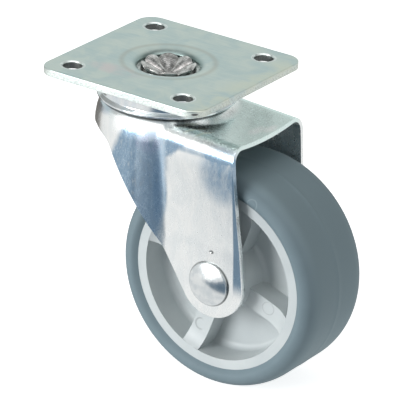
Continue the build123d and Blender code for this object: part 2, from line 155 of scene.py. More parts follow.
class Finish(Board):
    """A surface finish: a material with one Principled shader, drawn in the object's own coordinates."""

    def __init__(self, name, **constants):
        self.material = bpy.data.materials.new(name)
        self.material.use_nodes = True
        super().__init__(self.material.node_tree)
        self.shader = next(n for n in self.tree.nodes if n.type == "BSDF_PRINCIPLED")
        self.fix(**constants)
        self.place = self.add("ShaderNodeTexCoord", output="Object")

    def fix(self, **constants):
        """Sets sockets of the shader that are the same all over the surface."""
        for socket, value in constants.items():
            self.shader.inputs[socket.replace("_", " ")].default_value = value

    def axes(self):
        """The three coordinates in millimetres."""
        return [part * (1 / MM) for part in self.parts(self.place)]

    def noise(self, size, detail=3.0, roughness=0.55, stretch=(1, 1, 1), warp=0.0):
        """A cloudy pattern from 0 to 1 with marks about size millimetres across, drawn out by stretch."""
        scale = tuple(1 / (size * MM * part) for part in stretch)
        place = self.add("ShaderNodeMapping", values={"Vector": self.place, "Scale": scale})
        values = {"Vector": place, "Scale": 1.0, "Detail": detail, "Roughness": roughness, "Distortion": warp}
        return self.add("ShaderNodeTexNoise", values=values)

    def spot(self, centre, size, soft=1.0):
        """1 at a point and 0 beyond size from it, all in millimetres. Soft below 1 has a harder edge."""
        total = None
        for axis, middle, reach in zip(self.axes(), centre, size):
            part = ((axis - middle) / reach) ** 2
            total = part if total is None else total + part
        return total.ramp(1.0, 1.0 - soft)

    def blend(self, share, low, high):
        """A colour between two colours."""
        settings = {"data_type": "RGBA", "clamp_factor": True}
        colours = [(*colour, 1) if isinstance(colour, tuple) else colour for colour in (low, high)]
        return self.add("ShaderNodeMix", settings, {0: share, 6: colours[0], 7: colours[1]}, output=2)

    def bump(self, height, depth):
        """A surface normal from a height, at its depth in millimetres."""
        return self.add("ShaderNodeBump", values={"Height": height, "Distance": depth * MM, "Strength": 1.0})

    def connect(self, **sockets):
        """Links what changes over the surface to the shader, and returns the finished material."""
        for socket, wire in sockets.items():
            self.tree.links.new(wire.socket, self.shader.inputs[socket.replace("_", " ")])
        return self.material


def distance(x, y):
    """How far a place is from the middle of a circle, from its steps along two axes."""
    return (x * x + y * y) ** 0.5


def placed(name, mesh, material, body, slot, *nodes):
    """Puts a finished mesh in the scene, on its body, in place of the plain nodes that it stands for."""
    piece = bpy.data.objects.new(name, mesh)
    bpy.context.scene.collection.objects.link(piece)
    mesh.materials.clear()
    mesh.materials.append(material)
    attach(piece, body)
    if nodes:
        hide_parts(*nodes)


def flattened(piece):
    """The piece's mesh with its modifiers worked in. The piece itself goes."""
    bpy.context.view_layer.update()
    shown = piece.evaluated_get(bpy.context.evaluated_depsgraph_get())
    mesh = bpy.data.meshes.new_from_object(shown)
    bpy.data.objects.remove(piece)
    return mesh


def eased(node, width, steps=2):
    """A copy of a node's mesh with its triangles joined, its sharp edges eased and its curves smooth."""
    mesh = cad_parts[node].data.copy()
    mesh.name = node + "_eased"
    shape = bmesh.new()
    shape.from_mesh(mesh)
    bmesh.ops.remove_doubles(shape, verts=shape.verts, dist=JOIN_DISTANCE)
    bmesh.ops.dissolve_limit(shape, angle_limit=FLAT_ANGLE, verts=shape.verts, edges=shape.edges)
    for face in shape.faces:
        face.smooth = True
    shape.to_mesh(mesh)
    shape.free()
    piece = bpy.data.objects.new(mesh.name, mesh)
    bpy.context.scene.collection.objects.link(piece)
    bevel = piece.modifiers.new("eased_edges", "BEVEL")
    bevel.width = width
    bevel.segments = steps
    bevel.limit_method = "ANGLE"
    bevel.angle_limit = SHARP_ANGLE
    bevel.use_clamp_overlap = True
    bevel.miter_outer = "MITER_ARC"
    weighted = piece.modifiers.new("true_normals", "WEIGHTED_NORMAL")
    weighted.keep_sharp = True
    weighted.weight = 100
    return flattened(piece)


def zinc_on_plate():
    zinc = Finish("zinc_on_plate", Metallic=1.0)
    x, y, z = zinc.axes()
    radius = distance(x, y)
    clouds = zinc.noise(9, detail=3, warp=0.6)
    streaks = zinc.noise(1.1, detail=4, stretch=(14, 1, 1), roughness=0.6)
    grain = zinc.noise(0.35, detail=2)
    colour = zinc.blend(clouds.ramp(0.3, 0.7), (0.50, 0.60, 0.60), (0.62, 0.68, 0.64))
    colour = zinc.blend(streaks.ramp(0.45, 0.75) * 0.35, colour, (0.74, 0.78, 0.74))
    # The passivation tints it pink in front and yellow at the right
    pink = zinc.spot((-9, -17, 0), (12, 5, 4)) * clouds.ramp(0.25, 0.6)
    colour = zinc.blend(pink * 0.55, colour, (0.72, 0.58, 0.60))
    yellow = x.ramp(22, 33) * clouds.ramp(0.35, 0.65)
    colour = zinc.blend(yellow * 0.4, colour, (0.72, 0.70, 0.52))
    # The press leaves a brown line round the dish, and the cup's wall round the kingpin's head is painted dark,
    # a painted shade
    brown = radius.band(DISH_RADIUS - 1.3, DISH_RADIUS + 0.3, 0.8) * z.ramp(-0.9, -0.1)
    colour = zinc.blend(brown * 0.35, colour, (0.40, 0.36, 0.30))
    cup_wall_painted_shade = radius.band(CUP_RADIUS - 1.5, CUP_RADIUS + 2.3, 0.8) * z.ramp(-0.35, -1.3)
    colour = zinc.blend(cup_wall_painted_shade * 0.7, colour, (0.17, 0.25, 0.24))
    # Its sheared sides are brighter and rougher, with a nick at the front corner
    side = z.ramp(-0.35, -0.75) * radius.ramp(22, 26)
    speckle = zinc.noise(0.55, detail=3, roughness=0.7).ramp(0.42, 0.66)
    colour = zinc.blend(side * 0.45, colour, (0.84, 0.90, 0.87))
    colour = zinc.blend(side * speckle * 0.5, colour, (0.30, 0.30, 0.28))
    nick = zinc.spot((30.3, -29.2, -1.2), (1.3, 1.3, 0.45), soft=0.6)
    colour = zinc.blend(nick * 0.85, colour, (0.06, 0.06, 0.06))
    colour = zinc.blend((z + PLATE_THICKNESS).ramp(0.3, 0.05), colour, (0.86, 0.88, 0.87))
    # The holes' rolled rims carry a painted highlight and their bores a painted shade
    past_rim = distance(x.math("ABSOLUTE") - HOLE_X, y.math("ABSOLUTE") - HOLE_Y) - HOLE_RADIUS
    rim_painted_highlight = past_rim.band(0.1, 0.9, 0.25) * z.ramp(-0.9, -0.2)
    colour = zinc.blend(rim_painted_highlight * 0.7, colour, (0.92, 0.94, 0.93))
    bore_painted_shade = past_rim.ramp(0.15, 0.05) * z.ramp(-0.3, -0.5)
    colour = zinc.blend(bore_painted_shade * 0.85, colour, (0.07, 0.07, 0.07))
    rough = 0.24 + streaks * 0.12 + side * 0.2 + grain * 0.05
    height = streaks * 0.5 + grain * 0.3 + side * speckle * 1.5 - past_rim.ramp(0.75, 0.1) * 28
    return zinc.connect(Base_Color=colour, Roughness=rough, Normal=zinc.bump(height, 0.02))


plate = eased("top_plate", PLATE_EDGE_ROLL, steps=3)
placed("top_plate_pressed", plate, zinc_on_plate(), "plate", "zinc_plate", "top_plate")

# ---------------------------------------------------------------------------------------------------
# Kingpin: a turned steel pin. Its head is peened over in the plate's cup with a star punch, which squeezes
# the bare steel into eight rounded lobes with valleys between them.
# ---------------------------------------------------------------------------------------------------
HEAD_RADIUS = 8.9 * MM
HEAD_TOP = -0.05 * MM
HEAD_SEAT = -3.6 * MM
HEAD_FOOT = -5.25 * MM
HEAD_FLARE = 0.3 * MM
RIM_DROP = 0.4 * MM
STAR_LOBES = 8.0
STAR_TURN = radians(12)
VALLEY_DEPTH = 1.5 * MM
HOLLOW_DEPTH = 4.5 * MM
LOBE_FULLNESS = 0.62
EDGE_SCALLOP = 0.10
STEPS_ROUND = 288
STEPS_OUT = 89
TOP_SHARE = 0.64
WALL_SHARE = 0.18
NECK_RADIUS = 6
PIN_RADIUS = 7.4
PIN_TOP = -5.2
FLANGE_RADIUS = 10.5
FLANGE_THICKNESS = 2.5
ROUNDING_STEPS = 6
TURNED_SHARP_ANGLE = radians(30)


def geometry_tree(name, sockets):
    """A Geometry Nodes tree with named inputs. It returns its board and a wire for each input."""
    tree = bpy.data.node_groups.new(name, "GeometryNodeTree")
    tree.interface.new_socket("Geometry", in_out="OUTPUT", socket_type="NodeSocketGeometry")
    for socket, kind in sockets.items():
        tree.interface.new_socket(socket, in_out="INPUT", socket_type="NodeSocket" + kind)
    board = Board(tree)
    start = board.add("NodeGroupInput").socket.node
    return board, {socket: Wire(board, start.outputs[socket]) for socket in sockets}


def end_tree(board, geometry, material):
    """Ends a tree as every tree here ends: real geometry, with its material set."""
    geometry = board.add("GeometryNodeRealizeInstances", values={0: geometry})
    geometry = board.add("GeometryNodeSetMaterial", values={"Geometry": geometry, "Material": material})
    result = board.tree.nodes.new("NodeGroupOutput")
    board.tree.links.new(geometry.socket, result.inputs[0])
    return board.tree


def grown(name, tree, **values):
    """The mesh that a Geometry Nodes tree makes from the values of its named inputs."""
    seed = bpy.data.objects.new(name + "_seed", bpy.data.meshes.new(name))
    bpy.context.scene.collection.objects.link(seed)
    modifier = seed.modifiers.new(name, "NODES")
    modifier.node_group = tree
    for item in tree.interface.items_tree:
        if item.in_out == "INPUT":
            modifier[item.identifier] = values[item.name]
    return flattened(seed)


def star_head_tree():
    """A sheet that is bent round into a closed head, with its lobes on top."""
    board, put = geometry_tree("star_head", {
        "Lobes": "Float", "Turn": "Float", "Radius": "Float", "Top": "Float", "Seat": "Float", "Foot": "Float",
        "Valley": "Float", "Hollow": "Float", "Flare": "Float", "Drop": "Float", "Material": "Material",
    })
    sheet = {"Size X": 1.0, "Size Y": 1.0, "Vertices X": STEPS_ROUND + 1, "Vertices Y": STEPS_OUT + 1}
    grid = board.add("GeometryNodeMeshGrid", values=sheet)
    across, along, _ = board.parts(board.add("GeometryNodeInputPosition"))
    angle = (across + 0.5) * (2 * pi)
    along = along + 0.5
    # Each goes from 0 to 1 over its share of the way: out over the lobes, down the wall and in underneath
    out = (along / TOP_SHARE).math("MINIMUM", 1.0)
    down = ((along - TOP_SHARE) / WALL_SHARE).math("MAXIMUM", 0.0).math("MINIMUM", 1.0)
    under = ((along - TOP_SHARE - WALL_SHARE) / (1 - TOP_SHARE - WALL_SHARE)).math("MAXIMUM", 0.0)
    wave = ((angle - put["Turn"]) * put["Lobes"] * 0.5).math("SINE").math("ABSOLUTE")
    lobe = wave ** LOBE_FULLNESS
    hollow = put["Hollow"] * (1 - out) ** 1.05
    valley = put["Valley"] * (1 - lobe) * out.ramp(0.0, 0.55) * (0.55 + 0.45 * out)
    rim = put["Drop"] * out.ramp(0.62, 1.0) ** 3 * (0.5 + 0.5 * lobe)
    height = put["Top"] - hollow - valley - rim
    height = height + (put["Seat"] - height) * down.ramp(0.0, 1.0) + (put["Foot"] - put["Seat"]) * under
    edge = put["Radius"] * (1 - EDGE_SCALLOP * (1 - lobe))
    reach = (edge * out + put["Flare"] * down) * (1 - under)
    east = reach * angle.math("COSINE")
    north = reach * angle.math("SINE")
    point = board.add("ShaderNodeCombineXYZ", values={0: east, 1: north, 2: height})
    head = board.add("GeometryNodeSetPosition", values={"Geometry": grid, "Position": point})
    head = board.add("GeometryNodeMergeByDistance", values={"Geometry": head, "Distance": 0.01 * MM})
    head = board.add("GeometryNodeFlipFaces", values={0: head})
    head = board.add("GeometryNodeSetShadeSmooth", values={"Geometry": head})
    return end_tree(board, head, put["Material"])


def turned(name, outline, steps=96, lay=None):
    """A turned or drawn piece: a closed outline of radius and height in millimetres, swept once round.

    It stands on the kingpin's axis unless lay, a matrix, puts it elsewhere.
    """
    shape = bmesh.new()
    turns = [2 * pi * step / steps for step in range(steps)]
    rings = []
    for radius, height in outline:
        circle = turns if radius > 0 else turns[:1]
        rings.append([shape.verts.new(Vector((radius * cos(a), radius * sin(a), height)) * MM) for a in circle])
    for one, two in zip(rings, rings[1:] + rings[:1]):
        if len(one) == 1 and len(two) == 1:
            continue
        for step in range(steps):
            corners = [one[step % len(one)], one[(step + 1) % len(one)],
                       two[(step + 1) % len(two)], two[step % len(two)]]
            shape.faces.new(list(dict.fromkeys(corners)))
    bmesh.ops.recalc_face_normals(shape, faces=shape.faces)
    if lay:
        bmesh.ops.transform(shape, matrix=lay, verts=shape.verts)
    for face in shape.faces:
        face.smooth = True
    mesh = bpy.data.meshes.new(name)
    shape.to_mesh(mesh)
    shape.free()
    mesh.set_sharp_from_angle(angle=TURNED_SHARP_ANGLE)
    return mesh


def rounded(points):
    """An outline with some corners rounded: each point is (radius, height) or (radius, height, rounding)."""
    outline = []
    for index, point in enumerate(points):
        corner = Vector(point[:2])
        if len(point) == 2:
            outline.append(tuple(corner))
            continue
        rounding = point[2]
        before = (Vector(points[index - 1][:2]) - corner).normalized()
        after = (Vector(points[(index + 1) % len(points)][:2]) - corner).normalized()
        half = before.angle(after) / 2
        centre = corner + (before + after).normalized() * (rounding / sin(half))
        first = corner + before * (rounding / tan(half)) - centre
        last = corner + after * (rounding / tan(half)) - centre
        swing = first.angle_signed(last)
        for step in range(ROUNDING_STEPS + 1):
            turn = -swing * step / ROUNDING_STEPS
            outline.append((centre.x + first.x * cos(turn) - first.y * sin(turn),
                            centre.y + first.x * sin(turn) + first.y * cos(turn)))
    return outline


def peened_steel():
    steel = Finish("peened_steel", Metallic=1.0)
    x, y, z = steel.axes()
    radius = distance(x, y)
    smears = steel.noise(1.6, detail=4, roughness=0.65)
    colour = steel.blend(smears.ramp(0.3, 0.7), (0.34, 0.32, 0.31), (0.80, 0.77, 0.76))
    # Painted shade darkens the hollow middle of the star and the foot of its wall, and fine rings are left of
    # the turning
    colour = steel.blend(radius.ramp(3.2, 0.8) * 0.5, colour, (0.14, 0.13, 0.12))
    colour = steel.blend(z.ramp(-1.6, -2.8) * radius.ramp(8.6, 9.0) * 0.7, colour, (0.12, 0.13, 0.13))
    rings = (radius * 9).math("SINE")
    height = smears + rings * 0.12
    return steel.connect(Base_Color=colour, Roughness=0.16 + smears * 0.16, Normal=steel.bump(height, 0.09))


steel_of_pin = peened_steel()
head = grown("star_head", star_head_tree(), Lobes=STAR_LOBES, Turn=STAR_TURN, Radius=HEAD_RADIUS, Top=HEAD_TOP,
             Seat=HEAD_SEAT, Foot=HEAD_FOOT, Valley=VALLEY_DEPTH, Hollow=HOLLOW_DEPTH, Flare=HEAD_FLARE,
             Drop=RIM_DROP, Material=steel_of_pin)
placed("kingpin_head", head, steel_of_pin, "plate", "pin_steel")
pin_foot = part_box("kingpin")[0].z / MM
flange_top = pin_foot + FLANGE_THICKNESS
shank = turned("kingpin_shank", rounded([
    (0, PIN_TOP), (NECK_RADIUS, PIN_TOP), (NECK_RADIUS, PIN_TOP - 0.4), (PIN_RADIUS, PIN_TOP - 0.4),
    (PIN_RADIUS, flange_top), (FLANGE_RADIUS, flange_top, 0.4), (FLANGE_RADIUS, pin_foot, 0.6), (0, pin_foot),
]))
placed("kingpin_shank", shank, steel_of_pin, "plate", "pin_steel", "kingpin")

# ---------------------------------------------------------------------------------------------------
# Upper race cup: a ring drawn from bearing sheet and polished, spun to the plate's underside. A thin lip
# stands out at its lower edge and shields the gap over the fork.
# ---------------------------------------------------------------------------------------------------
CUP_BORE = 13.4
CUP_INNER_WALL = 19.45
CUP_OUTER_WALL = 21.42
CUP_SHEET = 2
CUP_BEND = 3.0
LIP_THICKNESS = 0.62
LIP_TURN = 1.3


def polished_race():
    race = Finish("polished_race", Metallic=1.0)
    marks = race.noise(2.4, detail=3, stretch=(1, 1, 5))
    turning = race.noise(0.25, detail=2, stretch=(40, 40, 1))
    colour = race.blend(marks.ramp(0.3, 0.7), (0.70, 0.76, 0.80), (0.82, 0.84, 0.84))
    return race.connect(Base_Color=colour, Roughness=0.10 + marks * 0.10, Normal=race.bump(turning, 0.006))


cup_foot, cup_roof = (corner.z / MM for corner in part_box("upper_race_cup"))
cup_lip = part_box("upper_race_cup")[1].x / MM
cup = turned("upper_race_cup", rounded([
    (CUP_BORE, cup_roof - CUP_SHEET), (CUP_BORE, cup_roof), (CUP_OUTER_WALL, cup_roof, CUP_BEND),
    (CUP_OUTER_WALL, cup_foot + LIP_TURN, 0.5), (cup_lip, cup_foot + LIP_THICKNESS, 0.25),
    (cup_lip, cup_foot, 0.2), (CUP_INNER_WALL, cup_foot),
    (CUP_INNER_WALL, cup_roof - CUP_SHEET, CUP_BEND + 0.1),
]), steps=144)
placed("upper_race_ring", cup, polished_race(), "plate", "bright_race", "upper_race_cup")

# ---------------------------------------------------------------------------------------------------
# Balls and lower race: hardened steel balls run in grease above and below the fork's crown, and a pressed
# cup on the kingpin's flange carries the lower row.
# ---------------------------------------------------------------------------------------------------
LOWER_RACE_EDGE_ROLL = 0.2 * MM


def ball_row_tree():
    """A row of equal balls in a level circle."""
    board, put = geometry_tree("ball_row", {
        "Balls": "Int", "Pitch": "Float", "Height": "Float", "Ball": "Float", "Material": "Material",
    })
    circle = board.add("GeometryNodeMeshCircle", values={"Vertices": put["Balls"], "Radius": put["Pitch"]})
    lift = board.add("ShaderNodeCombineXYZ", values={2: put["Height"]})
    circle = board.add("GeometryNodeSetPosition", values={"Geometry": circle, "Offset": lift})
    ball = board.add("GeometryNodeMeshIcoSphere", values={"Radius": put["Ball"], "Subdivisions": 4})
    ball = board.add("GeometryNodeSetShadeSmooth", values={"Geometry": ball})
    row = board.add("GeometryNodeInstanceOnPoints", values={"Points": circle, "Instance": ball})
    return end_tree(board, row, put["Material"])


def greased_steel():
    steel = Finish("greased_steel", Metallic=1.0)
    film = steel.noise(1.4, detail=3)
    colour = steel.blend(film.ramp(0.3, 0.7), (0.55, 0.54, 0.50), (0.74, 0.74, 0.72))
    return steel.connect(Base_Color=colour, Roughness=0.08 + film * 0.15)


def dull_race():
    race = Finish("dull_race", Metallic=1.0)
    marks = race.noise(3, detail=4)
    colour = race.blend(marks.ramp(0.3, 0.7), (0.30, 0.31, 0.32), (0.46, 0.48, 0.49))
    return race.connect(Base_Color=colour, Roughness=0.3 + marks * 0.2, Normal=race.bump(marks, 0.02))


steel_of_balls = greased_steel()
row_tree = ball_row_tree()
for body, prefix in (("upper_balls", "upper_ball"), ("lower_balls", "lower_ball")):
    nodes = sorted(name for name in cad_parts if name.startswith(prefix))
    low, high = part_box(nodes[0])
    middle = (low + high) / 2
    row = grown(prefix + "_row", row_tree, Balls=len(nodes), Pitch=middle.xy.length, Height=middle.z,
                Ball=(high.z - low.z) / 2, Material=steel_of_balls)
    placed(prefix + "_row", row, steel_of_balls, body, "ball_steel", *nodes)
lower_race = eased("lower_race_cup", LOWER_RACE_EDGE_ROLL)
placed("lower_race_pressed", lower_race, dull_race(), "plate", "dark_race", "lower_race_cup")

# ---------------------------------------------------------------------------------------------------
# Fork: one blank of 1.5 mm sheet, drawn up into a round crown and folded down into two legs, then bright
# zinc plated. The draw leaves the sheet mottled beside the crown, and the shears roll the blank's edges.
# ---------------------------------------------------------------------------------------------------
SHEET = 1.5
SHEET_EDGE_ROLL = 0.22 * MM
CROWN_RADIUS = 22.7
TRAIL = 32
AXLE_HEIGHT = -62.5
LEG_REAR = 39.2
LEG_REAR_SLOPE = 0.1167
LEG_FACE = -20.2
LEG_FACE_SLOPE = 0.033
SADDLE_HEIGHT = -13.35
rivet_low, rivet_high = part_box("axle_rivet")
rivet_radius = (rivet_high.x - rivet_low.x) / 2 / MM


def zinc_on_fork():
    zinc = Finish("zinc_on_fork", Metallic=1.0)
    x, y, z = zinc.axes()
    from_kingpin = distance(x, y)
    clouds = zinc.noise(5, detail=4, stretch=(1, 1, 2.2), warp=0.8)
    mottle = zinc.noise(1.6, detail=4, stretch=(1, 1, 2.5), roughness=0.65)
    grain = zinc.noise(0.3, detail=3, roughness=0.7)
    colour = zinc.blend(clouds.ramp(0.3, 0.7), (0.86, 0.885, 0.885), (0.95, 0.955, 0.94))
    # The draw pulls the sheet beside the crown, down to a point by the leading edge, and leaves it blue
    wander = clouds * 2.4 - 1.2
    limit = 15.4 + (z + 23).math("MAXIMUM", 0.0) * 1.1 - (-36 - z).math("MAXIMUM", 0.0) * 0.17
    behind = (x + wander * 1.3 - limit).ramp(0.4, -2.2)
    ahead = (x + wander - z * 0.39 - 4.7).ramp(-1.2, 1.4)
    drawn = behind * ahead * (z + x * 0.1).ramp(-13.8, -15.2) * y.ramp(-10, -14)
    blue = zinc.blend(mottle.ramp(0.3, 0.65), (0.16, 0.28, 0.40), (0.34, 0.45, 0.56))
    specks = zinc.noise(0.7, detail=2)
    blue = zinc.blend(specks.ramp(0.55, 0.72) * 0.45, blue, (0.70, 0.78, 0.84))
    violet = zinc.spot((8, -21, -19.5), (5, 6, 4.5)) * mottle.ramp(0.3, 0.6)
    blue = zinc.blend(violet * 0.75, blue, (0.40, 0.28, 0.50))
    blue = zinc.blend(x.band(4.5, 13.8, 1.0) * 0.62, blue, (0.72, 0.86, 0.98))
    crease = zinc.spot((11.6, -20, -33), (2.2, 6, 16))
    blue = zinc.blend(crease * 0.45, blue, (0.30, 0.48, 0.68))
    colour = zinc.blend(drawn * (0.55 + mottle.ramp(0.25, 0.5) * 0.45), colour, blue)
    # A second blue patch lies behind it, under the bend that folds the leg down
    under_bend = (z + wander * 0.4).band(-19.3, -17.2, 0.6) * x.band(14, 41, 1.5) * y.ramp(-18, -19)
    cloudy = zinc.spot((36, -20, -23), (11, 6, 13)) * (0.35 + clouds.ramp(0.15, 0.5) * 0.65)
    patch = (cloudy + under_bend * 0.7) * (0.65 + mottle.ramp(0.3, 0.6) * 0.35)
    colour = zinc.blend(patch, colour, (0.29, 0.41, 0.53))
    # The shears leave a rolled band that widens down the near leg's rear edge, painted dark as a painted
    # reflection, and a burr outside it
    from_rear = LEG_REAR + (SADDLE_HEIGHT - z) * LEG_REAR_SLOPE - x
    width = (-22 - z) * 0.075 + 0.7
    roll_painted_reflection = from_rear.ramp(0.3, 0.6) * (width - from_rear).ramp(-0.3, 0.3)
    roll_painted_reflection = roll_painted_reflection * z.ramp(-17, -24) * z.ramp(-65, -59) * y.ramp(-16, -18)
    colour = zinc.blend(roll_painted_reflection * 0.9, colour, (0.13, 0.23, 0.33))
    under_face = y - LEG_FACE - (-20 - z).math("MAXIMUM", 0.0) * LEG_FACE_SLOPE
    burr = under_face.ramp(0.7, 1.1) * from_rear.ramp(0.3, 0.1) * y.ramp(-16, -17) * z.ramp(-20, -26)
    colour = zinc.blend(burr * 0.7, colour, (0.25, 0.29, 0.31))
    # The top keeps more of the passivation's green, and the draw's creases fan out beside the crown
    top = y.math("ABSOLUTE").ramp(19.0, 16.5) * z.ramp(-19, -17) * (x * x + y * y).ramp(480, 620)
    colour = zinc.blend(top * 0.8, colour, (0.74, 0.89, 0.86))
    creases = (from_kingpin * 1.5 + x * 0.3).math("SINE") * zinc.spot((21, -14.5, -13), (10, 5, 4))
    colour = zinc.blend(creases.ramp(0.15, 0.7) * 0.5, colour, (0.97, 0.97, 0.80))
    smudges = zinc.spot((35, 0, -13), (2.6, 6, 4)) + zinc.spot((37.5, 4, -13), (2.2, 5, 4))
    colour = zinc.blend(smudges * 0.7, colour, (1.0, 1.0, 1.0))
    # A pilot mark stands above the rivet, and a painted contact shadow runs round the rivet's seat
    past_rivet = distance(x - TRAIL, z - AXLE_HEIGHT) - rivet_radius
    rivet_seat_painted_shadow = past_rivet.ramp(0.45, 0.2) * y.ramp(-16, -18)
    pilot = zinc.spot((32.4, -19.2, -51.3), (0.9, 3, 0.7), soft=0.5)
    colour = zinc.blend(rivet_seat_painted_shadow * 0.75 + pilot * 0.9, colour, (0.16, 0.17, 0.17))
    # The front of the crown is stained, and the gap under the race's lip is painted dark, a painted shade
    stain = zinc.spot((-13, -18, -12.5), (9, 7, 3.4)) * (0.4 + clouds.ramp(0.2, 0.55) * 0.6)
    colour = zinc.blend(stain * 0.75, colour, (0.38, 0.48, 0.58))
    lip_gap_painted_shade = z.ramp(-12.6, -12.2) * from_kingpin.ramp(CROWN_RADIUS, CROWN_RADIUS - 0.4)
    colour = zinc.blend(lip_gap_painted_shade * 0.85, colour, (0.07, 0.08, 0.08))
    rough = 0.16 + mottle * 0.14 + grain * 0.06
    height = (mottle * 0.8 + grain * 0.35) * (1 - top * 0.8) + creases * 0.5
    return zinc.connect(Base_Color=colour, Roughness=rough, Normal=zinc.bump(height, 0.03))


placed("fork_pressed", eased("fork", SHEET_EDGE_ROLL), zinc_on_fork(), "fork", "zinc_fork", "fork")

# ---------------------------------------------------------------------------------------------------
# Axle: a zinc-plated rivet with a low domed head passes through the near leg, a steel sleeve, the far leg
# and a washer, and its tail is formed over the washer.
# ---------------------------------------------------------------------------------------------------
SHANK_RADIUS = 4
TAIL_RADIUS = 6
TAIL_HEIGHT = 2.0
RIM_THICKNESS = 0.8
DOME_INSET = 0.5
DOME_RISE = 1.6
DOME_STEPS = 14
SMALL_EDGE_ROLL = 0.2 * MM
ON_AXLE = Matrix(((1, 0, 0, TRAIL * MM), (0, 0, -1, 0), (0, 1, 0, AXLE_HEIGHT * MM), (0, 0, 0, 1)))


def zinc_on_rivet():
    zinc = Finish("zinc_on_rivet", Metallic=1.0)
    x, _, z = zinc.axes()
    marks = zinc.noise(2.5, detail=4)
    colour = zinc.blend(marks.ramp(0.3, 0.7), (0.66, 0.70, 0.72), (0.80, 0.82, 0.82))
    past_rim = distance(x - TRAIL, z - AXLE_HEIGHT) - rivet_radius
    # Painted shade: a dark line round the outer edge of the head's rim
    colour = zinc.blend(past_rim.ramp(-0.3, -0.05) * 0.65, colour, (0.16, 0.18, 0.18))
    return zinc.connect(Base_Color=colour, Roughness=0.12 + marks * 0.14, Normal=zinc.bump(marks, 0.03))


# Heights along the rivet rise from the tail on the far side to the head on the near side
tail = -rivet_high.y / MM
dome_top = -rivet_low.y / MM
leg_face = -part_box("axle_sleeve")[0].y / MM + SHEET
rim_top = leg_face + RIM_THICKNESS
below_top = [1 - step / DOME_STEPS for step in range(DOME_STEPS + 1)]
dome = [((rivet_radius - DOME_INSET) * sqrt(share), dome_top - DOME_RISE * share) for share in below_top]
rivet = turned("axle_rivet", [(0, tail)] + rounded([
    (SHANK_RADIUS, tail, 0.4), (TAIL_RADIUS, tail + 1.2, 0.4), (TAIL_RADIUS, tail + TAIL_HEIGHT),
    (SHANK_RADIUS, tail + TAIL_HEIGHT), (SHANK_RADIUS, leg_face), (rivet_radius, leg_face, 0.1),
    (rivet_radius, rim_top, 0.3), (rivet_radius - 0.4, rim_top),
]) + dome, steps=128, lay=ON_AXLE)
zinc_rivet = zinc_on_rivet()
placed("axle_rivet_formed", rivet, zinc_rivet, "fork", "rivet_steel", "axle_rivet")
sleeve = eased("axle_sleeve", SMALL_EDGE_ROLL)
placed("axle_sleeve_cut", sleeve, zinc_rivet, "fork", "sleeve_steel", "axle_sleeve")
washer = eased("closing_washer", SMALL_EDGE_ROLL)
placed("closing_washer_blanked", washer, zinc_rivet, "fork", "sleeve_steel", "closing_washer")

# ---------------------------------------------------------------------------------------------------
# Wheel centre: light grey polypropylene, moulded in one shot: hub, web, rim ring and four ribs on each
# side that sweep up to the rim. Ejector pins leave round marks on the ribs.
# ---------------------------------------------------------------------------------------------------
MOULD_EDGE_RADIUS = 0.3 * MM


def moulded_grey():
    plastic = Finish("moulded_grey", Roughness=0.4, IOR=1.49)
    x, y, z = plastic.axes()
    clouds = plastic.noise(14, detail=3)
    grain = plastic.noise(0.5, detail=3)
    colour = plastic.blend(clouds.ramp(0.3, 0.7), (0.475, 0.515, 0.525), (0.53, 0.57, 0.575))
    # Ejector pins leave a crescent on one rib and a round mark on the next
    crescent = distance(x - 25.2, z + 81.3).band(1.7, 2.2, 0.15) * x.ramp(26.4, 25.0)
    circle = distance(x - 50.6, z + 68.2).band(2.0, 2.3, 0.15)
    marks = y.ramp(-1, -3) * (crescent + circle * 0.7)
    colour = plastic.blend(marks * 0.45, colour, (0.24, 0.26, 0.27))
    height = grain - marks * 8
    return plastic.connect(Base_Color=colour, Roughness=0.34 + grain * 0.14, Normal=plastic.bump(height, 0.015))


centre = eased("wheel_centre", MOULD_EDGE_RADIUS)
placed("wheel_centre_moulded", centre, moulded_grey(), "wheel", "grey_plastic", "wheel_centre")

# ---------------------------------------------------------------------------------------------------
# Tyre: grey thermoplastic rubber, moulded onto the rim. The mould's two halves meet in a fine line round
# the middle of the tread, and its texture leaves the rubber matte.
# ---------------------------------------------------------------------------------------------------
TREAD_RADIUS = 37.42
TREAD_HALF = 9.5
SIDE_HALF = 16.1
SHOULDER_RISE = 4.5
SHOULDER_STEPS = 16
BEAD_RADIUS = 30.8
BEAD_HALF = 14.6
BEAD_RISE = 2.2
BEAD_BULGE = 1.5
BEAD_STEPS = 8
PARTING_RISE = 0.07
PARTING_FOOT = 0.35
PARTING_HALF = 0.12


def matte_rubber():
    rubber = Finish("matte_rubber", Roughness=0.62, IOR=1.5, Specular_IOR_Level=0.2)
    x, y, z = rubber.axes()
    clouds = rubber.noise(12, detail=3)
    grain = rubber.noise(0.28, detail=3, roughness=0.7)
    colour = rubber.blend(clouds.ramp(0.3, 0.7), (0.150, 0.204, 0.230), (0.165, 0.221, 0.248))
    # The tread is painted paler than the sides, painted light where it faces the lamps, and an ejector pin
    # leaves a fine ring on the near one
    tread_painted_light = distance(x - TRAIL, z - AXLE_HEIGHT).ramp(35.8, 37.3)
    colour = rubber.blend(tread_painted_light, colour, (0.215, 0.285, 0.315))
    ring = distance(x - 44.8, z + 32.3).band(1.6, 1.9, 0.15) * y.ramp(-13, -15)
    colour = rubber.blend(ring * 0.35, colour, (0.34, 0.40, 0.42))
    height = grain - ring * 4
    return rubber.connect(Base_Color=colour, Roughness=0.55 + grain * 0.12, Normal=rubber.bump(height, 0.02))


